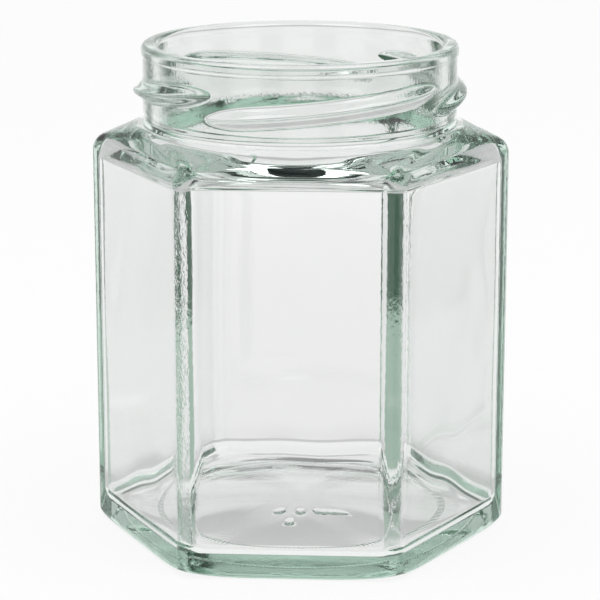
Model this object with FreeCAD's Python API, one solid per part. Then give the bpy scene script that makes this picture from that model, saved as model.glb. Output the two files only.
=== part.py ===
import FreeCAD, Part
import math
import os

# Hexagonal preserving jar of clear pressed glass, one solid, in millimetres.
# The Z axis is the axis of the jar.  Z = 0 is the surface it stands on.
# A flat facet faces -Y and two upright corners lie on the X axis.

# ---- body ----
ACROSS_FLATS = 62.4             # between two opposite outer facets
CORNER_RADIUS = 3.0             # outer rounding of the upright corners
JAR_HEIGHT = 85.0               # standing surface to the top of the rim
WALL = 2.2                      # glass thickness of the facets
INNER_CORNER_RADIUS = 4.0       # inner rounding of the upright corners

# ---- shoulder ----
SHOULDER_RISE = 5.5             # top of the flat facets to the neck root
SHOULDER_LEDGE = 4.55           # how far the neck stands in from the facets
SHOULDER_EDGE_RADIUS = 3.0      # rounding from a facet into the shoulder
INNER_SHOULDER_DROP = 2.0       # top of the facets to the top of the inner walls
INNER_SHOULDER_RISE = 3.4       # top of the inner walls to the foot of the bore
INNER_SHOULDER_RADIUS = 2.6     # rounding from an inner wall into the shoulder

# ---- base ----
HEEL_HEIGHT = 1.8               # height of the rounded lower edge
HEEL_RUN_FLAT = 0.9             # how far the lower edge draws in at mid facet
HEEL_RUN_CORNER = 4.5           # how far it draws in at the corners
BASE_THICKNESS = 3.4            # glass below the floor at its rim
FLOOR_EDGE_RADIUS = 2.4         # rounding from the floor into the wall
FLOOR_DOME_HEIGHT = 1.3         # rise of the floor at its middle
FLOOR_DOME_MARGIN = 2.5         # gap between the dome and the floor rounding
PUSH_UP_DEPTH = 1.7             # hollow under the base at its middle
BEARING_WIDTH = 3.2             # width of the ring the jar stands on

# ---- neck and rim ----
FINISH_HEIGHT = 13.3            # neck root to the top of the rim
NECK_WALL = 2.8                 # glass thickness of the neck
ROOT_GROOVE_DEPTH = 0.35        # slight waist where the neck leaves the shoulder
ROOT_GROOVE_HEIGHT = 1.5
RIM_BEAD_OUT = 0.22             # how far the rim band stands proud of the neck
RIM_BEAD_HEIGHT = 2.0
RIM_OUTER_RADIUS = 0.9
RIM_INNER_RADIUS = 1.3

# ---- twist-off lugs ----
LUG_COUNT = 4
LUG_SWEEP = 93.0                # degrees of the neck that one lug covers
LUG_TAPER = 18.0                # degrees over which each end runs out
LUG_FIRST_ANGLE = -122.3        # where the first lug starts, degrees from +X
LUG_PROJECTION = 1.65           # crest above the neck
LUG_WIDTH = 3.4                 # foot of a lug, measured upright
LUG_LOW_DROP = 9.6              # rim top down to the crest at the low end
LUG_RISE = 4.0                  # climb of the crest along one lug
LUG_FOOT_SINK = 0.6             # how far the foot is let into the neck wall
LUG_TIP_SCALE = 0.12            # size of the end sections against the middle

# ---- detail of the lofts ----
ROUND_STEPS = 5                 # sections along a rounding
SLOPE_STEPS = 3                 # sections along a plain slope
LUG_TAPER_STEPS = 4             # sections along each end of a lug
LUG_MIDDLE_STEPS = 10           # sections between the two ends
NEAR_ROUND = 1.02               # corner against flat at the top of the shoulder

# ---- derived sizes ----
COS30 = math.cos(math.radians(30.0))
APOTHEM = ACROSS_FLATS / 2.0
INNER_APOTHEM = APOTHEM - WALL
NECK_ROOT = JAR_HEIGHT - FINISH_HEIGHT
FACET_TOP = NECK_ROOT - SHOULDER_RISE
NECK_RADIUS = APOTHEM - SHOULDER_LEDGE
MOUTH_RADIUS = NECK_RADIUS - NECK_WALL
GROOVE_RADIUS = NECK_RADIUS - ROOT_GROOVE_DEPTH
RIM_RADIUS = NECK_RADIUS + RIM_BEAD_OUT
FLOOR_DOME_RADIUS = INNER_APOTHEM - FLOOR_EDGE_RADIUS - FLOOR_DOME_MARGIN
PUSH_UP_RADIUS = APOTHEM - HEEL_RUN_FLAT - BEARING_WIDTH


def corner_distance(apothem, corner_radius):
    """Distance from the axis to the rounded corner of a hexagon."""
    return (apothem - corner_radius) / COS30 + corner_radius


def corner_rounding(apothem, distance):
    """Corner radius that puts the corner of a hexagon at the given distance."""
    return (apothem / COS30 - distance) / (1.0 / COS30 - 1.0)


def polar(radius, degrees, height):
    """Point at a radius, an angle from +X and a height."""
    angle = math.radians(degrees)
    return FreeCAD.Vector(radius * math.cos(angle), radius * math.sin(angle), height)


def hexagon_wire(apothem, distance, height):
    """Level outline of six flats joined by six corner arcs."""
    rounding = corner_rounding(apothem, distance)
    centre_distance = distance - rounding
    arcs = []
    for corner in range(6):
        middle = 60.0 * corner
        centre = polar(centre_distance, middle, height)
        ends = [centre + polar(rounding, middle + turn, 0.0) for turn in (-30.0, 0.0, 30.0)]
        arcs.append(ends)
    edges = []
    for corner in range(6):
        start, crest, end = arcs[corner]
        edges.append(Part.Arc(start, crest, end).toShape())
        edges.append(Part.LineSegment(end, arcs[(corner + 1) % 6][0]).toShape())
    return Part.Wire(edges)


def loft(sections):
    """Solid through sections given as (apothem, corner distance, height)."""
    wires = [hexagon_wire(*section) for section in sections]
    return Part.makeLoft(wires, True, True)


def prism(apothem, distance, low, high):
    """Straight hexagonal block between two heights."""
    face = Part.Face(hexagon_wire(apothem, distance, low))
    return face.extrude(FreeCAD.Vector(0.0, 0.0, high - low))


def shoulder_line(foot_radius, foot_height, edge_radius, top_radius, top_height):
    """Radii and heights of an edge rounding followed by a straight slope.

    The rounding leaves the foot upright.  It ends where the slope to the
    top point touches it.
    """
    centre_radius = foot_radius - edge_radius
    to_top_run = top_radius - centre_radius
    to_top_rise = top_height - foot_height
    reach = math.hypot(to_top_run, to_top_rise)
    touch = math.atan2(to_top_rise, to_top_run) - math.acos(edge_radius / reach)
    line = []
    for step in range(ROUND_STEPS + 1):
        turn = touch * step / ROUND_STEPS
        radius = centre_radius + edge_radius * math.cos(turn)
        height = foot_height + edge_radius * math.sin(turn)
        line.append((radius, height))
    last_radius, last_height = line[-1]
    for step in range(1, SLOPE_STEPS + 1):
        part = step / SLOPE_STEPS
        radius = last_radius + (top_radius - last_radius) * part
        height = last_height + (top_height - last_height) * part
        line.append((radius, height))
    return line


def radius_at(line, height):
    """Radius of a shoulder line at a height, between its listed points."""
    for (low_radius, low), (high_radius, high) in zip(line, line[1:]):
        if height <= high:
            part = (height - low) / (high - low)
            return low_radius + (high_radius - low_radius) * part
    return line[-1][0]


def shoulder(apothem, distance, foot_height, edge_radius, top_radius, top_height):
    """Hexagon drawn in to a near circle under the neck."""
    flat_line = shoulder_line(apothem, foot_height, edge_radius, top_radius, top_height)
    corner_line = shoulder_line(distance, foot_height, edge_radius, top_radius, top_height)
    sections = []
    for radius, height in flat_line:
        sections.append((radius, radius_at(corner_line, height), height))
    sections[-1] = (top_radius, top_radius * NEAR_ROUND, top_height)
    return loft(sections)


def rounded_foot(apothem, distance, low, rise, run_flat, run_corner):
    """Hexagon that grows from a drawn-in outline to its full size."""
    sections = []
    for step in range(ROUND_STEPS + 1):
        turn = math.radians(90.0) * step / ROUND_STEPS
        inset = 1.0 - math.sin(turn)
        height = low + rise * (1.0 - math.cos(turn))
        sections.append((apothem - run_flat * inset, distance - run_corner * inset, height))
    return loft(sections)


def cap(radius, rise, base_height):
    """Spherical cap with its flat side down at the base height."""
    sphere_radius = (radius * radius + rise * rise) / (2.0 * rise)
    centre_height = base_height + rise - sphere_radius
    sphere = Part.makeSphere(sphere_radius, FreeCAD.Vector(0.0, 0.0, centre_height))
    slab = Part.makeCylinder(radius, rise, FreeCAD.Vector(0.0, 0.0, base_height))
    return sphere.common(slab)


def turned(points):
    """Solid of revolution about Z through (radius, height) points."""
    corners = [FreeCAD.Vector(radius, 0.0, height) for radius, height in points]
    face = Part.Face(Part.makePolygon(corners + corners[:1]))
    return face.revolve(FreeCAD.Vector(0, 0, 0), FreeCAD.Vector(0, 0, 1), 360.0)


def round_ring(solid, ring_radius, ring_height, fillet_radius):
    """Round the circular edge found at a radius and a height."""
    rings = []
    for edge in solid.Edges:
        box = edge.BoundBox
        level = box.ZLength < 1e-4 and abs(box.ZMin - ring_height) < 1e-4
        if level and abs(box.XMax - ring_radius) < 1e-3:
            rings.append(edge)
    return solid.makeFillet(fillet_radius, rings)


def neck():
    """Neck cylinder with its waist at the root and its band at the rim."""
    bead_low = JAR_HEIGHT - RIM_BEAD_HEIGHT
    groove_top = NECK_ROOT + ROOT_GROOVE_HEIGHT
    body = turned([
        (0.0, FACET_TOP),
        (GROOVE_RADIUS, FACET_TOP),
        (GROOVE_RADIUS, groove_top - ROOT_GROOVE_DEPTH),
        (NECK_RADIUS, groove_top),
        (NECK_RADIUS, bead_low - RIM_BEAD_OUT),
        (RIM_RADIUS, bead_low),
        (RIM_RADIUS, JAR_HEIGHT),
        (0.0, JAR_HEIGHT),
    ])
    return round_ring(body, RIM_RADIUS, JAR_HEIGHT, RIM_OUTER_RADIUS)


def lug_section(degrees, height, scale):
    """Upright section of a lug, a bulge on a foot let into the neck."""
    half_width = LUG_WIDTH / 2.0 * scale
    foot_radius = NECK_RADIUS - LUG_FOOT_SINK
    crest_radius = NECK_RADIUS + LUG_PROJECTION * scale
    low_foot = polar(foot_radius, degrees, height - half_width)
    low = polar(NECK_RADIUS, degrees, height - half_width)
    crest = polar(crest_radius, degrees, height)
    high = polar(NECK_RADIUS, degrees, height + half_width)
    high_foot = polar(foot_radius, degrees, height + half_width)
    return Part.Wire([
        Part.LineSegment(low_foot, low).toShape(),
        Part.Arc(low, crest, high).toShape(),
        Part.LineSegment(high, high_foot).toShape(),
        Part.LineSegment(high_foot, low_foot).toShape(),
    ])


def lug_turns():
    """Turn along a lug and size of its section there, tapered at both ends."""
    rising = []
    for step in range(LUG_TAPER_STEPS):
        part = step / LUG_TAPER_STEPS
        scale = LUG_TIP_SCALE + (1.0 - LUG_TIP_SCALE) * math.sin(math.radians(90.0) * part)
        rising.append((LUG_TAPER * part, scale))
    turns = list(rising)
    for step in range(LUG_MIDDLE_STEPS + 1):
        part = step / LUG_MIDDLE_STEPS
        turns.append((LUG_TAPER + (LUG_SWEEP - 2.0 * LUG_TAPER) * part, 1.0))
    for turn, scale in reversed(rising):
        turns.append((LUG_SWEEP - turn, scale))
    return turns


def lug(first_degrees):
    """One interrupted thread lug that climbs around the neck."""
    low = JAR_HEIGHT - LUG_LOW_DROP
    sections = []
    for turn, scale in lug_turns():
        height = low + LUG_RISE * turn / LUG_SWEEP
        sections.append(lug_section(first_degrees + turn, height, scale))
    return Part.makeLoft(sections, True, True)


def outside():
    """Everything the outer surface of the jar encloses."""
    distance = corner_distance(APOTHEM, CORNER_RADIUS)
    foot = rounded_foot(APOTHEM, distance, 0.0, HEEL_HEIGHT, HEEL_RUN_FLAT, HEEL_RUN_CORNER)
    body = prism(APOTHEM, distance, HEEL_HEIGHT, FACET_TOP)
    top = shoulder(APOTHEM, distance, FACET_TOP, SHOULDER_EDGE_RADIUS, GROOVE_RADIUS, NECK_ROOT)
    lugs = [lug(LUG_FIRST_ANGLE + 360.0 / LUG_COUNT * index) for index in range(LUG_COUNT)]
    return foot.multiFuse([body, top, neck()] + lugs)


def hollow():
    """The space inside the jar, open through the mouth."""
    distance = corner_distance(INNER_APOTHEM, INNER_CORNER_RADIUS)
    floor = BASE_THICKNESS
    wall_foot = floor + FLOOR_EDGE_RADIUS
    foot = rounded_foot(
        INNER_APOTHEM, distance, floor, FLOOR_EDGE_RADIUS, FLOOR_EDGE_RADIUS, FLOOR_EDGE_RADIUS)
    wall_top = FACET_TOP - INNER_SHOULDER_DROP
    body = prism(INNER_APOTHEM, distance, wall_foot, wall_top)
    bore_foot = wall_top + INNER_SHOULDER_RISE
    top = shoulder(
        INNER_APOTHEM, distance, wall_top, INNER_SHOULDER_RADIUS, MOUTH_RADIUS, bore_foot)
    bore = Part.makeCylinder(
        MOUTH_RADIUS, JAR_HEIGHT - wall_top, FreeCAD.Vector(0.0, 0.0, wall_top))
    space = foot.multiFuse([body, top, bore])
    return space.cut(cap(FLOOR_DOME_RADIUS, FLOOR_DOME_HEIGHT, floor))


def jar():
    """The whole glass jar."""
    glass = outside().cut(hollow())
    glass = glass.cut(cap(PUSH_UP_RADIUS, PUSH_UP_DEPTH, 0.0))
    glass = round_ring(glass, MOUTH_RADIUS, JAR_HEIGHT, RIM_INNER_RADIUS)
    return glass.removeSplitter()


os.makedirs("parts", exist_ok=True)
jar().exportStep("parts/jar.step")
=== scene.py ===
import math
from types import SimpleNamespace

import bpy
import numpy as np
from bpy.props import FloatProperty, FloatVectorProperty, IntProperty, PointerProperty
from bpy.types import Operator, Panel, PropertyGroup
from mathutils import Euler, Matrix, Vector


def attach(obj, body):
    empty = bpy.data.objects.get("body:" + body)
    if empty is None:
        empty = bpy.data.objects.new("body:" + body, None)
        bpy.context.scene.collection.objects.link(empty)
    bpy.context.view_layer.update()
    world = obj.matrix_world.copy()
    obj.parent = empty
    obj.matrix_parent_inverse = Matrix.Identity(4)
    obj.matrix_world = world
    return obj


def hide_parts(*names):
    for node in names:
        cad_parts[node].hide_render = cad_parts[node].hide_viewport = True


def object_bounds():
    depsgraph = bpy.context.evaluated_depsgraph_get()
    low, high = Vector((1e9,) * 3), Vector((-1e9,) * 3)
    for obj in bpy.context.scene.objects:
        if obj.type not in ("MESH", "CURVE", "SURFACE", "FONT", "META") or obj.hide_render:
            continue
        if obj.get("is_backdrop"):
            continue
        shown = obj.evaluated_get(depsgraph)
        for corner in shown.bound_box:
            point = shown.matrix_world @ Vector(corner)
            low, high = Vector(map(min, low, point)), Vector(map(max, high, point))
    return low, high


bl_info = {
    "name": "Hexagonal Glass Jar",
    "version": (1, 0, 0),
    "blender": (4, 5, 0),
    "location": "3D View > Sidebar > Glass Jar",
    "description": "Makes an open hexagonal preserving jar of clear glass and its studio",
    "category": "Add Mesh",
}

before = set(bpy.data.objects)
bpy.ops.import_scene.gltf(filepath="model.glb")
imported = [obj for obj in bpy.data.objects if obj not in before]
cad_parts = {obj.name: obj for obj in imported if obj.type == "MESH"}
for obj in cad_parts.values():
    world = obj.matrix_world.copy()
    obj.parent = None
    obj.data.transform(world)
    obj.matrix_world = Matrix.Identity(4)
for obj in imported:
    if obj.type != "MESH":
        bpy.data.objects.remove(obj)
CAD_LOW, CAD_HIGH = (Vector(corner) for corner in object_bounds())
CAD_SIZE = CAD_HIGH - CAD_LOW

MM = 0.001
SIDES = 6
SECTOR = math.pi / 3.0
HALF_SECTOR = math.pi / 6.0
SIN30 = 0.5
COS30 = math.cos(HALF_SECTOR)
WHITE = (1.0, 1.0, 1.0)


# ---------------------------------------------------------------- settings

class JarBodySettings(PropertyGroup):
    """Sizes of the hexagonal body, outside and inside."""

    across_flats: FloatProperty(
        name="Across Flats", description="Distance between two opposite facets",
        default=CAD_SIZE.y, unit="LENGTH", subtype="DISTANCE")
    height: FloatProperty(
        name="Height", description="Standing surface to the top of the rim",
        default=CAD_SIZE.z, unit="LENGTH", subtype="DISTANCE")
    corner_radius: FloatProperty(
        name="Corner Radius", description="Outer rounding of the upright corners",
        default=3.0 * MM, unit="LENGTH", subtype="DISTANCE")
    inner_corner_radius: FloatProperty(
        name="Inner Corner Radius", description="Inner rounding of the upright corners",
        default=4.0 * MM, unit="LENGTH", subtype="DISTANCE")
    wall: FloatProperty(
        name="Wall", description="Glass thickness of the facets",
        default=2.2 * MM, unit="LENGTH", subtype="DISTANCE")
    waviness: FloatProperty(
        name="Waviness", description="Usual height of the slow waves inside",
        default=0.05 * MM, unit="LENGTH", subtype="DISTANCE")


class JarShoulderSettings(PropertyGroup):
    """Sizes of the shoulder, outside and inside."""

    rise: FloatProperty(
        name="Rise", description="Top of the facets to the root of the neck",
        default=5.5 * MM, unit="LENGTH", subtype="DISTANCE")
    edge: FloatProperty(
        name="Edge Radius", description="Rounding from a facet into the shoulder",
        default=3.0 * MM, unit="LENGTH", subtype="DISTANCE")
    inner_drop: FloatProperty(
        name="Inner Drop", description="Top of the facets to the top of the inner walls",
        default=2.0 * MM, unit="LENGTH", subtype="DISTANCE")
    inner_rise: FloatProperty(
        name="Inner Rise", description="Top of the inner walls to the foot of the bore",
        default=3.4 * MM, unit="LENGTH", subtype="DISTANCE")
    inner_edge: FloatProperty(
        name="Inner Edge Radius", description="Rounding from an inner wall into the shoulder",
        default=2.6 * MM, unit="LENGTH", subtype="DISTANCE")


class JarBaseSettings(PropertyGroup):
    """Sizes of the heel, the underside and the floor inside."""

    heel_height: FloatProperty(
        name="Heel Height", description="Height of the rounded lower edge",
        default=1.8 * MM, unit="LENGTH", subtype="DISTANCE")
    heel_run_flat: FloatProperty(
        name="Heel Run at a Facet", description="How far the lower edge draws in at mid facet",
        default=0.9 * MM, unit="LENGTH", subtype="DISTANCE")
    heel_run_corner: FloatProperty(
        name="Heel Run at a Corner", description="How far the lower edge draws in at a corner",
        default=4.5 * MM, unit="LENGTH", subtype="DISTANCE")
    bearing_width: FloatProperty(
        name="Bearing Width", description="Width of the ring the jar stands on",
        default=3.2 * MM, unit="LENGTH", subtype="DISTANCE")
    push_up: FloatProperty(
        name="Push-up Depth", description="Depth of the hollow under the base",
        default=1.7 * MM, unit="LENGTH", subtype="DISTANCE")
    base_thickness: FloatProperty(
        name="Base Thickness", description="Height of the floor at its rim",
        default=3.4 * MM, unit="LENGTH", subtype="DISTANCE")
    floor_edge: FloatProperty(
        name="Floor Edge Radius", description="Rounding from the floor into the wall",
        default=2.4 * MM, unit="LENGTH", subtype="DISTANCE")
    floor_dome: FloatProperty(
        name="Floor Dome", description="Rise of the floor at its middle",
        default=1.3 * MM, unit="LENGTH", subtype="DISTANCE")
    mark_height: FloatProperty(
        name="Mark Height", description="How far the plain marks stand out of the underside",
        default=0.3 * MM, unit="LENGTH", subtype="DISTANCE")


class JarNeckSettings(PropertyGroup):
    """Sizes of the neck and the rim."""

    finish_height: FloatProperty(
        name="Finish Height", description="Root of the neck to the top of the rim",
        default=13.3 * MM, unit="LENGTH", subtype="DISTANCE")
    ledge: FloatProperty(
        name="Ledge", description="How far the neck stands in from the facets",
        default=4.55 * MM, unit="LENGTH", subtype="DISTANCE")
    wall: FloatProperty(
        name="Neck Wall", description="Glass thickness of the neck",
        default=2.8 * MM, unit="LENGTH", subtype="DISTANCE")
    root_fillet: FloatProperty(
        name="Root Fillet", description="Rounding from the shoulder into the neck",
        default=0.9 * MM, unit="LENGTH", subtype="DISTANCE")
    waist: FloatProperty(
        name="Waist", description="How far the neck draws in at its root",
        default=0.35 * MM, unit="LENGTH", subtype="DISTANCE")
    waist_height: FloatProperty(
        name="Waist Height", description="Height over which the neck swells to its full size",
        default=1.2 * MM, unit="LENGTH", subtype="DISTANCE")
    bead: FloatProperty(
        name="Bead", description="How far the rim band stands proud of the neck",
        default=0.22 * MM, unit="LENGTH", subtype="DISTANCE")
    bead_height: FloatProperty(
        name="Bead Height", description="Foot of the rim band to the top of the rim",
        default=2.2 * MM, unit="LENGTH", subtype="DISTANCE")
    bead_slope: FloatProperty(
        name="Bead Slope", description="Height over which the rim band swells out of the neck",
        default=0.6 * MM, unit="LENGTH", subtype="DISTANCE")
    rim_outer: FloatProperty(
        name="Outer Rim Radius", description="Rounding of the rim's outer edge",
        default=0.9 * MM, unit="LENGTH", subtype="DISTANCE")
    rim_inner: FloatProperty(
        name="Inner Rim Radius", description="Rounding of the rim's inner edge",
        default=1.3 * MM, unit="LENGTH", subtype="DISTANCE")


class JarLugSettings(PropertyGroup):
    """Number, place and sizes of the twist-off lugs."""

    count: IntProperty(
        name="Lugs", description="Number of twist-off lugs", default=4, min=1, max=8)
    first: FloatProperty(
        name="First Lug", description="Where the first lug starts, from +X",
        default=math.radians(-122.3), unit="ROTATION", subtype="ANGLE")
    sweep: FloatProperty(
        name="Lug Sweep", description="How much of the neck one lug covers",
        default=math.radians(93.0), unit="ROTATION", subtype="ANGLE")
    taper: FloatProperty(
        name="Lug Taper", description="Angle over which each end of a lug runs out",
        default=math.radians(18.0), unit="ROTATION", subtype="ANGLE")
    projection: FloatProperty(
        name="Lug Projection", description="Crest of a lug above the neck",
        default=1.65 * MM, unit="LENGTH", subtype="DISTANCE")
    width: FloatProperty(
        name="Lug Width", description="Foot of a lug with its soft edges, measured upright",
        default=3.9 * MM, unit="LENGTH", subtype="DISTANCE")
    drop: FloatProperty(
        name="Lug Drop", description="Top of the rim down to the crest at the low end",
        default=9.6 * MM, unit="LENGTH", subtype="DISTANCE")
    rise: FloatProperty(
        name="Lug Rise", description="Climb of the crest along one lug",
        default=4.0 * MM, unit="LENGTH", subtype="DISTANCE")


class JarGrainSettings(PropertyGroup):
    """Fine relief that the mould leaves on the glass."""

    relief: FloatProperty(
        name="Relief", description="Height of the grain where its share is full",
        default=0.04 * MM, unit="LENGTH", subtype="DISTANCE")
    corners: FloatProperty(
        name="Corner Grain", description="Share of grain along the upright corners",
        default=0.3, min=0.0, max=1.0)
    neck: FloatProperty(
        name="Neck Grain", description="Share of grain on the neck",
        default=0.3, min=0.0, max=1.0)
    heel: FloatProperty(
        name="Heel Grain", description="Share of grain on the heel",
        default=0.25, min=0.0, max=1.0)
    fineness: FloatProperty(
        name="Fineness", description="Number of grains in a metre", default=2400.0, min=1.0)
    stretch: FloatProperty(
        name="Stretch", description="Width of a grain as a share of its height",
        default=0.45, min=0.01, max=1.0)
    dot_count: IntProperty(
        name="Dots", description="Number of dots in the ring under the base",
        default=200, min=2)
    dot_ring: FloatProperty(
        name="Dot Ring Radius", description="Radius of the ring of dots under the base",
        default=23.5 * MM, unit="LENGTH", subtype="DISTANCE")
    dot_relief: FloatProperty(
        name="Dot Relief", description="Height of a dot as a multiple of the relief",
        default=4.0, min=0.0)


class JarGlassSettings(PropertyGroup):
    """Finish of the glass."""

    refraction: FloatProperty(
        name="Refraction", description="Index of refraction of soda-lime glass",
        default=1.5, min=1.0, max=2.0)
    tint: FloatVectorProperty(
        name="Tint", description="Colour of light that has gone far through the glass",
        default=(0.56, 0.805, 0.68), size=3, subtype="COLOR", min=0.0, max=1.0)
    tint_density: FloatProperty(
        name="Tint Density", description="How fast the glass takes up colour, per metre",
        default=22.0, min=0.0)
    clearness: FloatVectorProperty(
        name="Clearness", description="Colour of light that has gone through one wall",
        default=(0.965, 0.955, 0.96), size=3, subtype="COLOR", min=0.0, max=1.0)
    neck_clearness: FloatVectorProperty(
        name="Neck Clearness", description="The same through the neck, where fine grain dims it",
        default=(0.88, 0.885, 0.88), size=3, subtype="COLOR", min=0.0, max=1.0)


class JarRoomSettings(PropertyGroup):
    """Room that the glass shows: white panels, the gaps between them and the ceiling."""

    panel_turn: FloatProperty(
        name="Panel Direction", description="Direction of the middle of one panel, from +X",
        default=math.radians(94.7), unit="ROTATION", subtype="ANGLE")
    panel_spacing: FloatProperty(
        name="Panel Spacing", description="Turn from one panel to the next",
        default=math.radians(45.0), unit="ROTATION", subtype="ANGLE")
    panel_half: FloatProperty(
        name="Panel Half Width", description="Turn from the middle of a panel to its edge",
        default=math.radians(13.0), unit="ROTATION", subtype="ANGLE")
    panel_edge: FloatProperty(
        name="Panel Edge", description="Half the turn over which a panel's edge fades",
        default=math.radians(1.0), unit="ROTATION", subtype="ANGLE")
    gap: FloatVectorProperty(
        name="Gap", description="Colour between the panels",
        default=(0.020, 0.082, 0.042), size=3, subtype="COLOR", min=0.0, max=1.0)
    gap_floor: FloatVectorProperty(
        name="Gap Floor", description="Colour of the floor below the gaps",
        default=(0.35, 0.49, 0.40), size=3, subtype="COLOR", min=0.0, max=1.0)
    upper_wall: FloatVectorProperty(
        name="Upper Wall", description="Colour of the room above the panels",
        default=(0.60, 0.60, 0.60), size=3, subtype="COLOR", min=0.0, max=1.0)
    ceiling: FloatVectorProperty(
        name="Ceiling", description="Colour of the ceiling",
        default=(0.02, 0.025, 0.025), size=3, subtype="COLOR", min=0.0, max=1.0)
    plain_light: FloatProperty(
        name="Plain Light", description="Strength of the room as a light on matt surfaces",
        default=0.7, min=0.0)


class JarStudioSettings(PropertyGroup):
    """Camera, floor and lamps."""

    distance: FloatProperty(
        name="Camera Distance", description="Level distance from the jar's axis to the lens",
        default=0.4173, unit="LENGTH", subtype="DISTANCE")
    camera_height: FloatProperty(
        name="Camera Height", description="Height of the lens above the floor",
        default=0.1465, unit="LENGTH", subtype="DISTANCE")
    azimuth: FloatProperty(
        name="Azimuth",
        description="How far the camera stands round to the right of the front facet",
        default=math.radians(3.194), unit="ROTATION", subtype="ANGLE")
    tilt: FloatProperty(
        name="Tilt", description="How far the camera looks down",
        default=math.radians(14.328), unit="ROTATION", subtype="ANGLE")
    lens: FloatProperty(
        name="Lens", description="Focal length in millimetres", default=149.06)
    floor_size: FloatProperty(
        name="Floor Size", description="Length of each side of the floor",
        default=8.0, unit="LENGTH", subtype="DISTANCE")
    floor_colour: FloatVectorProperty(
        name="Floor Colour", description="Colour of the matt floor",
        default=(0.9, 0.9, 0.9), size=3, subtype="COLOR", min=0.0, max=1.0)
    floor_white: FloatProperty(
        name="Floor White", description="Share of the floor that is plain white background",
        default=0.88, min=0.0, max=1.0)
    lamp_place: FloatVectorProperty(
        name="Lamp Place", description="Place of the right lamp at a camera azimuth of 0",
        default=(0.41, -0.235, 0.95), size=3, unit="LENGTH", subtype="TRANSLATION")
    lamp_aim: FloatProperty(
        name="Lamp Aim", description="Height on the jar's axis that the lamps look at",
        default=0.07, unit="LENGTH", subtype="DISTANCE")
    lamp_size: FloatProperty(
        name="Lamp Size", description="Length of each side of a lamp",
        default=0.5, unit="LENGTH", subtype="DISTANCE")
    lamp_power: FloatProperty(
        name="Lamp Power", description="Power of each lamp in watts", default=2.2, min=0.0)


# ---------------------------------------------------------------- outlines

# Degrees on each side of a corner where the points stand closer together
CORNER_ZONE = 4.0
CORNER_POINTS = 25
FACET_POINTS = 41


def from_corner(turn):
    """Turn from the nearest upright corner, from 0 to 30 degrees, as one row."""
    return np.abs(np.mod(turn + HALF_SECTOR, SECTOR) - HALF_SECTOR)[None, :]


def hexagon_radius(turn, apothem, reach):
    """Radius of a rounded hexagon at each turn.

    With the corner radius c = (apothem / cos 30 - reach) / (1 / cos 30 - 1)
    and t the turn from the nearest corner, a flat is apothem / cos(30 - t)
    and a corner is the circle of radius c about the point at reach - c.
    A reach equal to the apothem gives a circle.
    """
    apothem = np.asarray(apothem)[:, None]
    reach = np.asarray(reach)[:, None]
    rounding = (apothem / COS30 - reach) / (1.0 / COS30 - 1.0)
    centre = reach - rounding
    away = from_corner(turn)
    flat = apothem / np.cos(HALF_SECTOR - away)
    offset = centre * np.sin(away)
    corner = centre * np.cos(away) + np.sqrt(np.maximum(rounding ** 2 - offset ** 2, 0.0))
    meets = np.arctan2(rounding * SIN30, centre + rounding * COS30)
    return np.where(away < meets, corner, flat)


def corner_reach(apothem, radius):
    """Distance from the axis to a rounded corner: (apothem - radius) / cos 30 + radius."""
    return (apothem - radius) / COS30 + radius


def sector_turns():
    """Turns round the jar, closer together at the six upright corners."""
    corner = np.linspace(-CORNER_ZONE, CORNER_ZONE, CORNER_POINTS)
    facet = np.linspace(CORNER_ZONE, 60.0 - CORNER_ZONE, FACET_POINTS)[1:-1]
    sector = np.radians(np.concatenate([corner, facet]))
    return np.concatenate([sector + SECTOR * index for index in range(SIDES)])


def smooth_step(value, low, high):
    """0 below low and 1 above high: 3 t^2 - 2 t^3 with t the way between them."""
    part = np.clip((value - low) / (high - low), 0.0, 1.0)
    return part * part * (3.0 - 2.0 * part)


# ---------------------------------------------------------------- rows
#
# A row is one level outline of the skin.  Rows are three arrays: the radius
# at mid facet, the radius at a corner and the height.

def edge_and_slope(foot_radius, foot_height, edge, top_radius, top_height, parts):
    """Radii and heights of a rounding followed by the slope that touches it.

    The rounding is a circle of radius edge that leaves the foot upright.
    The slope is the line from the top point that is tangent to it.
    """
    centre = foot_radius - edge
    run = top_radius - centre
    rise = top_height - foot_height
    touch = math.atan2(rise, run) - math.acos(edge / math.hypot(run, rise))
    turn = np.linspace(0.0, touch, parts)
    radius = centre + edge * np.cos(turn)
    height = foot_height + edge * np.sin(turn)
    part = np.linspace(0.0, 1.0, parts)[1:]
    radius = np.concatenate([radius, radius[-1] + (top_radius - radius[-1]) * part])
    height = np.concatenate([height, height[-1] + (top_height - height[-1]) * part])
    return radius, height


def shoulder_rows(apothem, reach, foot_height, edge, top_radius, top_height, parts):
    """Rows of a hexagon drawn in to a circle.

    Mid facets and corners each follow edge_and_slope.  The corner's curve has
    many parts and is read at the heights of the mid facet's.
    """
    corner_parts = 200
    flat, height = edge_and_slope(apothem, foot_height, edge, top_radius, top_height, parts)
    corner, corner_height = edge_and_slope(
        reach, foot_height, edge, top_radius, top_height, corner_parts)
    return flat, np.interp(height, corner_height, corner), height


def quarter_rows(apothem, reach, low, rise, run_flat, run_corner, parts):
    """Rows of a foot: a quarter ellipse from a drawn-in outline to full size."""
    turn = np.linspace(0.0, math.pi / 2.0, parts)
    inset = 1.0 - np.sin(turn)
    height = low + rise * (1.0 - np.cos(turn))
    return apothem - run_flat * inset, reach - run_corner * inset, height


def upright_rows(apothem, reach, heights):
    """The same outline at each of the heights."""
    return np.full(heights.size, apothem), np.full(heights.size, reach), heights


def round_rows(radius, height):
    """Rows that are plain circles."""
    return np.array(radius), np.array(radius), np.array(height)


def arc_rows(radius, height, size, start, end, parts):
    """Circles along an arc of the given size about (radius, height), in degrees."""
    turn = np.radians(np.linspace(start, end, parts))
    return round_rows(radius + size * np.cos(turn), height + size * np.sin(turn))


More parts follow.
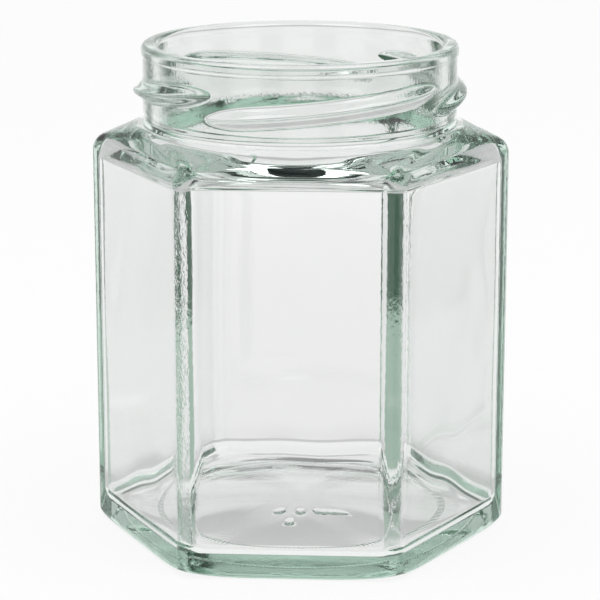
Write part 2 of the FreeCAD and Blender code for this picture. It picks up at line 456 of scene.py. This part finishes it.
def backwards(rows):
    """The same rows from the last to the first."""
    return tuple(column[::-1] for column in rows)


# ---------------------------------------------------------------- skin
#
# Rows on each form, counted with the ends that it shares with its neighbours.
# A shoulder has this many on its rounding and as many on its slope.

ROWS = SimpleNamespace(
    hollow=30, ring=7, heel=11, walls=14, shoulder=11,
    fillet=6, neck=46, band=8, outer_rim=8,
    inner_rim=9, bore=14, inner_shoulder=9, inner_walls=18, floor_edge=11, floor=24)

# First and last row of the hollow underneath, as shares of its radius
HOLLOW_SPAN = (0.02, 0.985)

# Heights above the root of the neck
SLOPE_END = -0.2 * MM
FILLET_MIDDLE = 0.55 * MM

# Where the straight bore ends above its foot, and how much wider the slope starts
BORE_END = 1.6 * MM
BORE_FLARE = 0.5 * MM

# First and last degree of each arc, from outwards and turning up
FILLET_ARC = (250.0, 180.0)
OUTER_RIM_ARC = (8.0, 90.0)
INNER_RIM_ARC = (90.0, 172.0)


def jar_sizes(body, shoulder, base, neck):
    """Radii and heights that follow from the settings."""
    apothem = body.across_flats / 2.0
    inner = apothem - body.wall
    neck_radius = apothem - neck.ledge
    root = body.height - neck.finish_height
    facet_top = root - shoulder.rise
    wall_top = facet_top - shoulder.inner_drop
    return SimpleNamespace(
        apothem=apothem,
        reach=corner_reach(apothem, body.corner_radius),
        inner=inner,
        inner_reach=corner_reach(inner, body.inner_corner_radius),
        hollow=apothem - base.heel_run_flat - base.bearing_width,
        neck=neck_radius,
        mouth=neck_radius - neck.wall,
        waist=neck_radius - neck.waist,
        rim=neck_radius + neck.bead,
        top=body.height,
        root=root,
        facet_top=facet_top,
        wall_top=wall_top,
        bore_foot=wall_top + shoulder.inner_rise)


def foot_rows(sizes, base):
    """The hollow underneath from its middle out, the standing ring and the heel.

    The hollow's height is push up * (1 - (radius / its rim's radius)^2).
    """
    under = np.linspace(*HOLLOW_SPAN, ROWS.hollow) * sizes.hollow
    heel = quarter_rows(
        sizes.apothem, sizes.reach, 0.0, base.heel_height,
        base.heel_run_flat, base.heel_run_corner, ROWS.heel)
    ring_flat = np.linspace(sizes.hollow, heel[0][0], ROWS.ring)[:-1]
    ring_reach = np.linspace(sizes.hollow, heel[1][0], ROWS.ring)[:-1]
    return [
        round_rows(under, base.push_up * (1.0 - (under / sizes.hollow) ** 2)),
        (ring_flat, ring_reach, np.zeros_like(ring_flat)),
        heel,
    ]


def body_rows(sizes, shoulder, base, neck):
    """The facets and the shoulder, up to the root fillet."""
    walls = np.linspace(base.heel_height, sizes.facet_top, ROWS.walls)[1:-1]
    return [
        upright_rows(sizes.apothem, sizes.reach, walls),
        shoulder_rows(
            sizes.apothem, sizes.reach, sizes.facet_top, shoulder.edge,
            sizes.waist + neck.root_fillet, sizes.root + SLOPE_END, ROWS.shoulder),
    ]


def neck_rows(sizes, neck):
    """The root fillet, the neck, its rim band and the outer edge of the rim.

    The neck swells from its waist, and the band from the neck, by smooth_step.
    """
    fillet = arc_rows(
        sizes.waist + neck.root_fillet, sizes.root + FILLET_MIDDLE, neck.root_fillet,
        *FILLET_ARC, ROWS.fillet)
    low = fillet[2][-1]
    band_foot = sizes.top - neck.bead_height
    band_top = sizes.top - neck.rim_outer
    neck_heights = np.linspace(low, band_foot, ROWS.neck)[1:-1]
    swell = smooth_step(neck_heights, low, low + neck.waist_height)
    band_heights = np.linspace(band_foot, band_top, ROWS.band)
    lift = smooth_step(band_heights, band_foot, band_foot + neck.bead_slope)
    return [
        fillet,
        round_rows(sizes.waist + (sizes.neck - sizes.waist) * swell, neck_heights),
        round_rows(sizes.neck + (sizes.rim - sizes.neck) * lift, band_heights),
        arc_rows(
            sizes.rim - neck.rim_outer, band_top, neck.rim_outer,
            *OUTER_RIM_ARC, ROWS.outer_rim),
    ]


def inside_rows(sizes, shoulder, base, neck):
    """The inner edge of the rim, the bore, the shoulder, the walls and the floor.

    With s going from 1 at the floor's rim to 0 at the axis, the floor is s
    times as wide, its corners stand out by s^3 of what they do at the rim,
    and it rises by dome * (1 - s^2).
    """
    rim_middle = sizes.top - neck.rim_inner
    bore = np.linspace(rim_middle, sizes.bore_foot + BORE_END, ROWS.bore)
    slope = shoulder_rows(
        sizes.inner, sizes.inner_reach, sizes.wall_top, shoulder.inner_edge,
        sizes.mouth + BORE_FLARE, sizes.bore_foot, ROWS.inner_shoulder)
    wall_foot = base.base_thickness + base.floor_edge
    walls = np.linspace(sizes.wall_top, wall_foot, ROWS.inner_walls)[1:-1]
    edge = quarter_rows(
        sizes.inner, sizes.inner_reach, base.base_thickness, base.floor_edge,
        base.floor_edge, base.floor_edge, ROWS.floor_edge)
    share = np.linspace(1.0, 0.0, ROWS.floor)[1:-1]
    flat = edge[0][0] * share
    return [
        arc_rows(
            sizes.mouth + neck.rim_inner, rim_middle, neck.rim_inner,
            *INNER_RIM_ARC, ROWS.inner_rim),
        upright_rows(sizes.mouth, sizes.mouth, bore),
        backwards(slope),
        upright_rows(sizes.inner, sizes.inner_reach, walls),
        backwards(edge),
        (
            flat,
            flat + (edge[1][0] - edge[0][0]) * share ** 3,
            base.base_thickness + base.floor_dome * (1.0 - share ** 2),
        ),
    ]


# ---------------------------------------------------------------- relief

# Height that the lugs leave free above the root and below the top of the rim
LUG_ROOM_BELOW = 0.4 * MM
LUG_ROOM_ABOVE = 1.2 * MM

# Waves inside: how many, the spans of their number round the jar and of their
# radians per metre up it, and where they end and fade below the top of the rim
WAVE_SEED = 7
WAVE_COUNT = 10
WAVES_ROUND = (2, 15)
WAVES_UP = (60.0, 260.0)
WAVE_END = 3.0 * MM
WAVE_FADE = 6.0 * MM

# Plain marks under the base: dots, in millimetres from the axis, and a bar
MARK_DOTS = ((-3.2, -6.0), (0.4, -6.0), (-1.2, -11.0))
MARK_DOT_RADIUS = 1.1 * MM
MARK_BAR_MIDDLE = (5.6 * MM, -6.0 * MM)
MARK_BAR_HALF = 2.2 * MM
MARK_BAR_RADIUS = 0.8 * MM
MARK_SLOPE = 1.6

# Where the grain fades: beside a corner, about the top of the facets, above the
# root of the neck, above the standing surface and outside the hollow
CORNER_FADE = (1.6 * MM, 3.0 * MM)
FACET_FADE = (-0.5 * MM, 2.0 * MM)
NECK_FADE = (0.0, 2.0 * MM)
HEEL_FADE = (1.8 * MM, 3.2 * MM)
HOLLOW_FADE = (0.0, 1.0 * MM)

# Where the neck's own colour begins, about its root
NECK_COLOUR_FADE = (-0.5 * MM, 2.5 * MM)


def lug_relief(turn, height, lug, top):
    """How far the lugs stand out of the neck at each turn and height.

    Along a lug, s goes from 0 to 1 and its crest climbs from top - drop by
    rise * s.  Its section is projection * cos(pi / 2 * x)^2 with x the height
    from the crest in half widths, scaled by sin(pi / 2 * e) with e the way in
    from the nearer end, in tapers and at most 1.  The half width shrinks by
    the root of that scale.
    """
    relief = np.zeros_like(height)
    for index in range(lug.count):
        first = lug.first + index * 2.0 * math.pi / lug.count
        along = np.mod(turn - first, 2.0 * math.pi)
        inside = np.minimum(along, lug.sweep - along) / lug.taper
        scale = np.sin(0.5 * math.pi * np.clip(inside, 0.0, 1.0))
        crest = top - lug.drop + lug.rise * along / lug.sweep
        half = np.maximum(0.5 * lug.width * np.sqrt(scale), 1e-6)
        across = np.clip((height - crest) / half, -1.0, 1.0)
        relief = np.maximum(
            relief, lug.projection * scale * np.cos(0.5 * math.pi * across) ** 2)
    return relief


def soft_ripple(turn, height, depth):
    """Slow waves of cooled glass.

    Each wave is sin(a * turn + b) * sin(c * height + d) with random a to d,
    and their sum is divided by the root of their number.
    """
    rng = np.random.default_rng(WAVE_SEED)
    wave = np.zeros(np.broadcast(turn, height).shape)
    for _ in range(WAVE_COUNT):
        round_count = rng.integers(*WAVES_ROUND)
        up_count = rng.uniform(*WAVES_UP)
        phase, lift = rng.uniform(0.0, 2.0 * math.pi, 2)
        wave += np.sin(round_count * turn + phase) * np.sin(up_count * height + lift)
    return depth * wave / math.sqrt(WAVE_COUNT)


def raised_mark(away, height):
    """A flat-topped mound: slope * (1 - away) of the height, from none to all of it.

    away is the distance from its middle in radii.
    """
    return height * np.clip(MARK_SLOPE * (1.0 - away), 0.0, 1.0)


def underside_marks(x, y, height):
    """Plain raised dots and a bar under the base, as a drop at each point."""
    drop = np.zeros_like(x)
    for dot_x, dot_y in MARK_DOTS:
        away = np.hypot(x - dot_x * MM, y - dot_y * MM) / MARK_DOT_RADIUS
        drop = np.maximum(drop, raised_mark(away, height))
    bar_x = np.maximum(np.abs(x - MARK_BAR_MIDDLE[0]) - MARK_BAR_HALF, 0.0)
    away = np.hypot(bar_x, y - MARK_BAR_MIDDLE[1]) / MARK_BAR_RADIUS
    return np.maximum(drop, raised_mark(away, height))


def fade(value, start, span):
    """smooth_step over a span that is measured from the start."""
    return smooth_step(value, start + span[0], start + span[1])


def grain_mask(turn, radius, height, sizes, grain):
    """How rough the mould leaves the glass, from 0 to 1.

    Corners are a little rough within 3 mm of the upright edges, and so are
    the neck above its root and the heel outside the hollow underneath.
    """
    beside = radius * np.sin(from_corner(turn))
    below_shoulder = 1.0 - fade(height, sizes.facet_top, FACET_FADE)
    corner = grain.corners * (1.0 - fade(beside, 0.0, CORNER_FADE)) * below_shoulder
    neck = grain.neck * fade(height, sizes.root, NECK_FADE)
    heel = grain.heel * (1.0 - fade(height, 0.0, HEEL_FADE))
    heel = heel * fade(radius, sizes.hollow, HOLLOW_FADE)
    return np.maximum(np.maximum(corner, neck), heel)


def jar_surface(body, shoulder, base, neck, lug, grain):
    """The whole skin of the glass as rings of points, its two poles and its masks.

    Every ring is a rounded hexagon or circle at its height.  The rings run
    from the middle of the underside out over the heel, up the facets, over
    the shoulder, neck and rim, and down the inside to the middle of the floor.
    Lugs are added to the neck, waves to the inside and marks to the hollow.
    """
    sizes = jar_sizes(body, shoulder, base, neck)
    foot = foot_rows(sizes, base)
    outside = foot + body_rows(sizes, shoulder, base, neck) + neck_rows(sizes, neck)
    rows = outside + inside_rows(sizes, shoulder, base, neck)
    flats, reaches, heights = (np.concatenate(column) for column in zip(*rows))
    turn = sector_turns()
    radius = hexagon_radius(turn, flats, reaches)
    height = np.repeat(heights[:, None], turn.size, axis=1)

    number = np.arange(heights.size)[:, None]
    in_hollow = number < foot[0][2].size
    is_outer = number < sum(part[2].size for part in outside)
    above_root = height > sizes.root + LUG_ROOM_BELOW
    on_neck = is_outer & above_root & (height < sizes.top - LUG_ROOM_ABOVE)
    radius = radius + np.where(on_neck, lug_relief(turn[None, :], height, lug, sizes.top), 0.0)
    wave = soft_ripple(turn[None, :], height, body.waviness)
    wave = wave * np.clip((sizes.top - WAVE_END - height) / WAVE_FADE, 0.0, 1.0)
    wave = wave * np.minimum(radius / sizes.inner, 1.0)
    radius = radius + np.where(is_outer, 0.0, wave)
    x = radius * np.cos(turn)
    y = radius * np.sin(turn)
    height = height - np.where(in_hollow, underside_marks(x, y, base.mark_height), 0.0)

    masks = {
        "grain": grain_mask(turn, radius, height, sizes, grain),
        "neck": fade(height, sizes.root, NECK_COLOUR_FADE),
    }
    rings = np.stack([x, y, height], axis=-1)
    floor_middle = (0.0, 0.0, base.base_thickness + base.floor_dome)
    return rings, (0.0, 0.0, base.push_up), floor_middle, masks


# ---------------------------------------------------------------- meshes

def closed_grid(name, rings, first_pole, last_pole, masks):
    """Mesh of rings of points closed by a fan at each end, facing outwards.

    rings is an array (rows, turns, 3) whose rows run from the first pole to
    the last and whose turns run anticlockwise seen from above.  masks holds
    named values from 0 to 1, one for each point of the rings.
    """
    rows, turns, _ = rings.shape
    points = np.concatenate([rings.reshape(-1, 3), [first_pole], [last_pole]])
    row = np.arange(rows - 1)[:, None] * turns
    here = np.arange(turns)[None, :]
    there = (here + 1) % turns
    quads = np.stack([row + here, row + there, row + turns + there, row + turns + here], -1)
    first = np.full(turns, rows * turns)
    last = np.full(turns, rows * turns + 1)
    ring = here[0]
    ahead = there[0]
    end = (rows - 1) * turns
    start_fan = np.stack([first, ahead, ring], -1)
    end_fan = np.stack([end + ring, end + ahead, last], -1)
    mesh = bpy.data.meshes.new(name)
    faces = quads.reshape(-1, 4).tolist() + start_fan.tolist() + end_fan.tolist()
    mesh.from_pydata(points.tolist(), [], faces)
    mesh.polygons.foreach_set("use_smooth", [True] * len(mesh.polygons))
    for mask_name, values in masks.items():
        attribute = mesh.attributes.new(mask_name, "FLOAT", "POINT")
        padded = np.concatenate([values.reshape(-1), [0.0, 0.0]])
        attribute.data.foreach_set("value", padded.astype(np.float32))
    mesh.update()
    return mesh


def flat_sheet(name, half, level):
    """Mesh of a single level square about the axis."""
    mesh = bpy.data.meshes.new(name)
    corners = [
        (-half, -half, level), (half, -half, level), (half, half, level), (-half, half, level)]
    mesh.from_pydata(corners, [], [(0, 1, 2, 3)])
    mesh.update()
    return mesh


def link(name, data):
    """A new object at the origin, in the scene's own collection."""
    piece = bpy.data.objects.new(name, data)
    bpy.context.scene.collection.objects.link(piece)
    return piece


# ---------------------------------------------------------------- nodes

def fresh_tree(owner):
    """The emptied nodes and the links of a material or a world."""
    owner.use_nodes = True
    tree = owner.node_tree
    tree.nodes.clear()
    return tree.nodes, tree.links


def math_node(nodes, links, operation, *values):
    """One Math node whose inputs are numbers or the outputs of other nodes."""
    node = nodes.new("ShaderNodeMath")
    node.operation = operation
    for index, value in enumerate(values):
        if isinstance(value, (int, float)):
            node.inputs[index].default_value = value
        else:
            links.new(value, node.inputs[index])
    return node.outputs[0]


def colour_mix(nodes, links, share, first, second):
    """Colour from the first to the second by a share from 0 to 1.

    Each is a colour or the output of another node.  Sockets 6 and 7 are the
    Mix node's colours A and B, and its output 2 is their mix.
    """
    node = nodes.new("ShaderNodeMix")
    node.data_type = "RGBA"
    links.new(share, node.inputs["Factor"])
    for socket, value in ((node.inputs[6], first), (node.inputs[7], second)):
        if isinstance(value, bpy.types.NodeSocket):
            links.new(value, socket)
        else:
            socket.default_value = (*value, 1.0)
    return node.outputs[2]


def shader_mix(nodes, links, share, first, second):
    """Shader from the first to the second by a share from 0 to 1."""
    node = nodes.new("ShaderNodeMixShader")
    links.new(share, node.inputs["Fac"])
    links.new(first, node.inputs[1])
    links.new(second, node.inputs[2])
    return node.outputs["Shader"]


def grey_ramp(nodes, links, value, stops):
    """Grey that follows stops of (position, brightness)."""
    node = nodes.new("ShaderNodeValToRGB")
    elements = node.color_ramp.elements
    elements[0].position = stops[0][0]
    elements[1].position = stops[-1][0]
    for position, _ in stops[1:-1]:
        elements.new(position)
    for element, (_, grey) in zip(elements, stops):
        element.color = (grey, grey, grey, 1.0)
    links.new(value, node.inputs["Fac"])
    return node.outputs["Color"]


def way_between(nodes, links, value, low, high, interpolation):
    """0 at low, 1 at high and kept between them; low may be the larger number."""
    node = nodes.new("ShaderNodeMapRange")
    node.interpolation_type = interpolation
    node.inputs["From Min"].default_value = low
    node.inputs["From Max"].default_value = high
    links.new(value, node.inputs["Value"])
    return node.outputs["Result"]


def soft_step(nodes, links, value, low, high):
    """way_between with soft ends."""
    return way_between(nodes, links, value, low, high, "SMOOTHSTEP")


def attribute_value(nodes, name):
    """The mask of that name on the mesh."""
    node = nodes.new("ShaderNodeAttribute")
    node.attribute_name = name
    return node.outputs["Fac"]


# ---------------------------------------------------------------- glass

GRAIN_DETAIL = 2.0

# Where the dots run out and where they are full: beside the middle of their
# ring, and above the standing surface
DOT_RING_FADE = (0.6 * MM, 0.1 * MM)
DOT_TOP_FADE = (1.4 * MM, 1.0 * MM)


def grain_relief(nodes, links, place, grain):
    """Noise drawn out upright, times the grain mask."""
    stretch = nodes.new("ShaderNodeMapping")
    stretch.inputs["Scale"].default_value = (1.0, 1.0, grain.stretch)
    links.new(place, stretch.inputs["Vector"])
    noise = nodes.new("ShaderNodeTexNoise")
    noise.inputs["Scale"].default_value = grain.fineness
    noise.inputs["Detail"].default_value = GRAIN_DETAIL
    links.new(stretch.outputs["Vector"], noise.inputs["Vector"])
    mask = attribute_value(nodes, "grain")
    return math_node(nodes, links, "MULTIPLY", noise.outputs["Fac"], mask)


def dot_relief(nodes, links, place, grain):
    """Ring of dots under the base.

    With t the turn round the axis, the dots are relief * sin(count / 2 * t)^2,
    times a soft-edged ring and a soft step below its top.
    """
    split = nodes.new("ShaderNodeSeparateXYZ")
    links.new(place, split.inputs["Vector"])
    x, y, z = split.outputs
    turn = math_node(nodes, links, "ARCTAN2", y, x)
    phase = math_node(nodes, links, "MULTIPLY", turn, grain.dot_count / 2.0)
    wave = math_node(nodes, links, "SINE", phase)
    square = math_node(nodes, links, "MULTIPLY", wave, wave)
    dots = math_node(nodes, links, "MULTIPLY", square, grain.dot_relief)
    squares = [math_node(nodes, links, "MULTIPLY", side, side) for side in (x, y)]
    radius = math_node(nodes, links, "SQRT", math_node(nodes, links, "ADD", *squares))
    offset = math_node(nodes, links, "SUBTRACT", radius, grain.dot_ring)
    away = math_node(nodes, links, "ABSOLUTE", offset)
    ring = soft_step(nodes, links, away, *DOT_RING_FADE)
    under = soft_step(nodes, links, z, *DOT_TOP_FADE)
    mask = math_node(nodes, links, "MULTIPLY", ring, under)
    return math_node(nodes, links, "MULTIPLY", dots, mask)


def mould_bump(nodes, links, grain):
    """Normals with the grain and the ring of dots that the mould leaves."""
    place = nodes.new("ShaderNodeTexCoord").outputs["Object"]
    rough = grain_relief(nodes, links, place, grain)
    dots = dot_relief(nodes, links, place, grain)
    bump = nodes.new("ShaderNodeBump")
    bump.inputs["Strength"].default_value = 1.0
    bump.inputs["Distance"].default_value = grain.relief
    links.new(math_node(nodes, links, "ADD", rough, dots), bump.inputs["Height"])
    return bump.outputs["Normal"]


def glass_material(glass, grain):
    """Clear glass that is colourless across a wall and green along it."""
    material = bpy.data.materials.new("clear_green_tinted_glass")
    nodes, links = fresh_tree(material)
    output = nodes.new("ShaderNodeOutputMaterial")
    shader = nodes.new("ShaderNodeBsdfPrincipled")
    on_neck = attribute_value(nodes, "neck")
    colour = colour_mix(nodes, links, on_neck, glass.clearness, glass.neck_clearness)
    links.new(colour, shader.inputs["Base Color"])
    shader.inputs["Roughness"].default_value = 0.0
    shader.inputs["IOR"].default_value = glass.refraction
    shader.inputs["Transmission Weight"].default_value = 1.0
    links.new(mould_bump(nodes, links, grain), shader.inputs["Normal"])
    links.new(shader.outputs["BSDF"], output.inputs["Surface"])
    body = nodes.new("ShaderNodeVolumeAbsorption")
    body.inputs["Color"].default_value = (*glass.tint, 1.0)
    body.inputs["Density"].default_value = glass.tint_density
    links.new(body.outputs["Volume"], output.inputs["Volume"])
    return material


class MESH_OT_glass_jar(Operator):
    """Make the jar's glass as one closed skin and put it in place of the plain solid"""

    bl_idname = "mesh.glass_jar"
    bl_label = "Glass Jar"

    def execute(self, context):
        scene = context.scene
        surface = jar_surface(
            scene.jar_body, scene.jar_shoulder, scene.jar_base, scene.jar_neck,
            scene.jar_lugs, scene.jar_grain)
        jar = link("glass_jar", closed_grid("glass_jar", *surface))
        jar.data.materials.append(glass_material(scene.jar_glass, scene.jar_grain))
        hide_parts("jar")
        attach(jar, "root")
        return {"FINISHED"}


# ---------------------------------------------------------------- room
#
# Edges in the room are levels of a direction: the height it reaches at a
# distance of 1, so 0 is the horizon and 1 is straight up.

FLOOR_EDGE = (math.sin(math.radians(-14.9)), math.sin(math.radians(-14.2)))
GAP_FOOT = (-0.55, -0.30)
PANEL_TOP = (0.16, 0.36)
CEILING_EDGE = (0.72, 0.82)

# Painted shade of the floor under and beside the jar, seen in the glass: brightness of the floor
# and of the panels' feet, at shares of the way up FLOOR_SPAN
FLOOR_SPAN = (-0.45, -0.15)
FLOOR_PAINTED_SHADE = (
    (0.0, 1.0), (0.10, 0.97), (0.18, 0.64), (0.38, 0.58), (0.44, 0.86), (0.51, 0.925),
    (0.68, 0.94), (0.81, 0.975), (0.98, 1.0))


def background(nodes, colour, strength):
    """A Background shader of one colour and strength."""
    node = nodes.new("ShaderNodeBackground")
    node.inputs["Color"].default_value = (*colour, 1.0)
    node.inputs["Strength"].default_value = strength
    return node


def panel_gaps(nodes, links, direction, through_glass, room):
    """1 between the panels for rays through glass, and 0 elsewhere.

    The turn from the nearest panel's middle is the direction's turn folded
    to and fro over half a spacing.  The gaps fade out below the horizon.
    """
    turn = math_node(nodes, links, "ARCTAN2", direction["Y"], direction["X"])
    shifted = math_node(nodes, links, "SUBTRACT", turn, room.panel_turn - 2.0 * math.pi)
    away = math_node(nodes, links, "PINGPONG", shifted, room.panel_spacing / 2.0)
    inner_edge = room.panel_half - room.panel_edge
    outer_edge = room.panel_half + room.panel_edge
    gap = soft_step(nodes, links, away, inner_edge, outer_edge)
    gap = math_node(nodes, links, "MULTIPLY", gap, through_glass)
    foot = soft_step(nodes, links, direction["Z"], *GAP_FOOT)
    return math_node(nodes, links, "MULTIPLY", gap, foot)


def room_colour(nodes, links, through_glass, room):
    """White panels all round on a pale floor with a band of painted shade under the jar, a grey
    wall above and a dark ceiling.

    Only rays through glass see the dark green gaps between the panels.
    """
    split = nodes.new("ShaderNodeSeparateXYZ")
    links.new(nodes.new("ShaderNodeTexCoord").outputs["Generated"], split.inputs["Vector"])
    level = split.outputs["Z"]
    gap = panel_gaps(nodes, links, split.outputs, through_glass, room)
    above_floor = soft_step(nodes, links, level, *FLOOR_EDGE)
    above_panels = soft_step(nodes, links, level, *PANEL_TOP)
    on_ceiling = soft_step(nodes, links, level, *CEILING_EDGE)
    share = way_between(nodes, links, level, *FLOOR_SPAN, "LINEAR")
    # Painted shade: the room's floor darkens in a band of downward directions, under and beside
    # the jar
    painted_floor_shade = grey_ramp(nodes, links, share, FLOOR_PAINTED_SHADE)
    gap_colour = colour_mix(nodes, links, above_floor, room.gap_floor, room.gap)
    ring = colour_mix(nodes, links, gap, painted_floor_shade, gap_colour)
    above = colour_mix(nodes, links, on_ceiling, room.upper_wall, room.ceiling)
    return colour_mix(nodes, links, above_panels, ring, above)


def studio_world(room):
    """The room for gloss and glass, plain light for matt surfaces, white for the camera."""
    world = bpy.data.worlds.new("studio_world")
    nodes, links = fresh_tree(world)
    path = nodes.new("ShaderNodeLightPath").outputs
    through_glass = path["Is Transmission Ray"]
    around = background(nodes, WHITE, 1.0)
    links.new(room_colour(nodes, links, through_glass, room), around.inputs["Color"])
    plain = background(nodes, WHITE, room.plain_light)
    seen = background(nodes, WHITE, 1.0)
    glass_ray = math_node(nodes, links, "MAXIMUM", path["Is Glossy Ray"], through_glass)
    lit = shader_mix(
        nodes, links, glass_ray, plain.outputs["Background"], around.outputs["Background"])
    blend = shader_mix(nodes, links, path["Is Camera Ray"], lit, seen.outputs["Background"])
    output = nodes.new("ShaderNodeOutputWorld")
    links.new(blend, output.inputs["Surface"])
    return world


# ---------------------------------------------------------------- studio

# The floor lies this far under the jar, so that the two never touch
FLOOR_DROP = 0.05 * MM

# The camera's sensor in millimetres, and its nearest view in metres
SENSOR_WIDTH = 36.0
NEAREST_VIEW = 0.01

# How often a ray may turn in the glass, or off gloss, before it ends
GLASS_BOUNCES = 32
GLOSS_BOUNCES = 16


def floor_material(colour, share):
    """Pale matt floor, part of it plain white background where it is seen."""
    material = bpy.data.materials.new("studio_floor")
    nodes, links = fresh_tree(material)
    matt = nodes.new("ShaderNodeBsdfDiffuse")
    matt.inputs["Color"].default_value = (*colour, 1.0)
    white = nodes.new("ShaderNodeEmission")
    white.inputs["Color"].default_value = (*WHITE, 1.0)
    white.inputs["Strength"].default_value = 1.0
    path = nodes.new("ShaderNodeLightPath").outputs
    seen = path["Is Camera Ray"]
    for name in ("Is Glossy Ray", "Is Transmission Ray"):
        seen = math_node(nodes, links, "MAXIMUM", seen, path[name])
    portion = math_node(nodes, links, "MULTIPLY", seen, share)
    blend = shader_mix(nodes, links, portion, matt.outputs["BSDF"], white.outputs["Emission"])
    output = nodes.new("ShaderNodeOutputMaterial")
    links.new(blend, output.inputs["Surface"])
    return material


def studio_floor(studio):
    """Square floor that the camera sees; gloss and glass see the room's own."""
    sheet = flat_sheet("studio_floor", studio.floor_size / 2.0, CAD_LOW.z - FLOOR_DROP)
    floor = link("studio_floor", sheet)
    floor.data.materials.append(floor_material(studio.floor_colour, studio.floor_white))
    floor.visible_glossy = False
    floor.visible_transmission = False
    floor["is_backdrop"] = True


def softbox(name, side, studio):
    """Square soft lamp that looks at the jar's axis; side is 1 right and -1 left."""
    data = bpy.data.lights.new(name, "AREA")
    data.shape = "RECTANGLE"
    data.size = studio.lamp_size
    data.size_y = studio.lamp_size
    data.energy = studio.lamp_power
    across, front, up = studio.lamp_place
    place = Vector((across * side, front, up))
    place.rotate(Euler((0.0, 0.0, studio.azimuth)))
    direction = Vector((0.0, 0.0, studio.lamp_aim)) - place
    turned = direction.to_track_quat("-Z", "Y").to_matrix().to_4x4()
    link(name, data).matrix_world = Matrix.Translation(place) @ turned


def studio_camera(studio):
    """Camera in front of the jar that looks down at it."""
    data = bpy.data.cameras.new("studio_camera")
    data.lens = studio.lens
    data.sensor_width = SENSOR_WIDTH
    data.clip_start = NEAREST_VIEW
    camera = link("studio_camera", data)
    camera.location = (
        studio.distance * math.sin(studio.azimuth),
        -studio.distance * math.cos(studio.azimuth),
        studio.camera_height)
    camera.rotation_euler = (math.pi / 2.0 - studio.tilt, 0.0, studio.azimuth)
    return camera


class SCENE_OT_jar_studio(Operator):
    """Make the pale floor, the soft lights, the room and the camera"""

    bl_idname = "scene.jar_studio"
    bl_label = "Jar Studio"

    def execute(self, context):
        scene = context.scene
        studio = scene.jar_studio
        studio_floor(studio)
        scene.world = studio_world(scene.jar_room)
        softbox("softbox_left", -1.0, studio)
        softbox("softbox_right", 1.0, studio)
        scene.camera = studio_camera(studio)
        scene.view_settings.view_transform = "Standard"
        scene.cycles.max_bounces = GLASS_BOUNCES
        scene.cycles.transmission_bounces = GLASS_BOUNCES
        scene.cycles.glossy_bounces = GLOSS_BOUNCES
        return {"FINISHED"}


# ---------------------------------------------------------------- panel

class VIEW3D_PT_glass_jar(Panel):
    """Steps that make the jar and its studio"""

    bl_label = "Glass Jar"
    bl_category = "Glass Jar"
    bl_space_type = "VIEW_3D"
    bl_region_type = "UI"

    def draw(self, context):
        column = self.layout.column()
        for operator in STEPS:
            column.operator(operator.bl_idname)
        for group, scene_name in SETTINGS.items():
            column.label(text=group.__doc__)
            settings = getattr(context.scene, scene_name)
            for name in group.__annotations__:
                column.prop(settings, name)


STEPS = (MESH_OT_glass_jar, SCENE_OT_jar_studio)
SETTINGS = {
    JarBodySettings: "jar_body",
    JarShoulderSettings: "jar_shoulder",
    JarBaseSettings: "jar_base",
    JarNeckSettings: "jar_neck",
    JarLugSettings: "jar_lugs",
    JarGrainSettings: "jar_grain",
    JarGlassSettings: "jar_glass",
    JarRoomSettings: "jar_room",
    JarStudioSettings: "jar_studio",
}


def register():
    for group, name in SETTINGS.items():
        bpy.utils.register_class(group)
        setattr(bpy.types.Scene, name, PointerProperty(type=group))
    for cls in (*STEPS, VIEW3D_PT_glass_jar):
        bpy.utils.register_class(cls)


def unregister():
    for cls in reversed((*STEPS, VIEW3D_PT_glass_jar)):
        bpy.utils.unregister_class(cls)
    for group, name in SETTINGS.items():
        delattr(bpy.types.Scene, name)
        bpy.utils.unregister_class(group)


def main():
    register()
    bpy.ops.mesh.glass_jar()
    bpy.ops.scene.jar_studio()


if __name__ == "__main__":
    main()
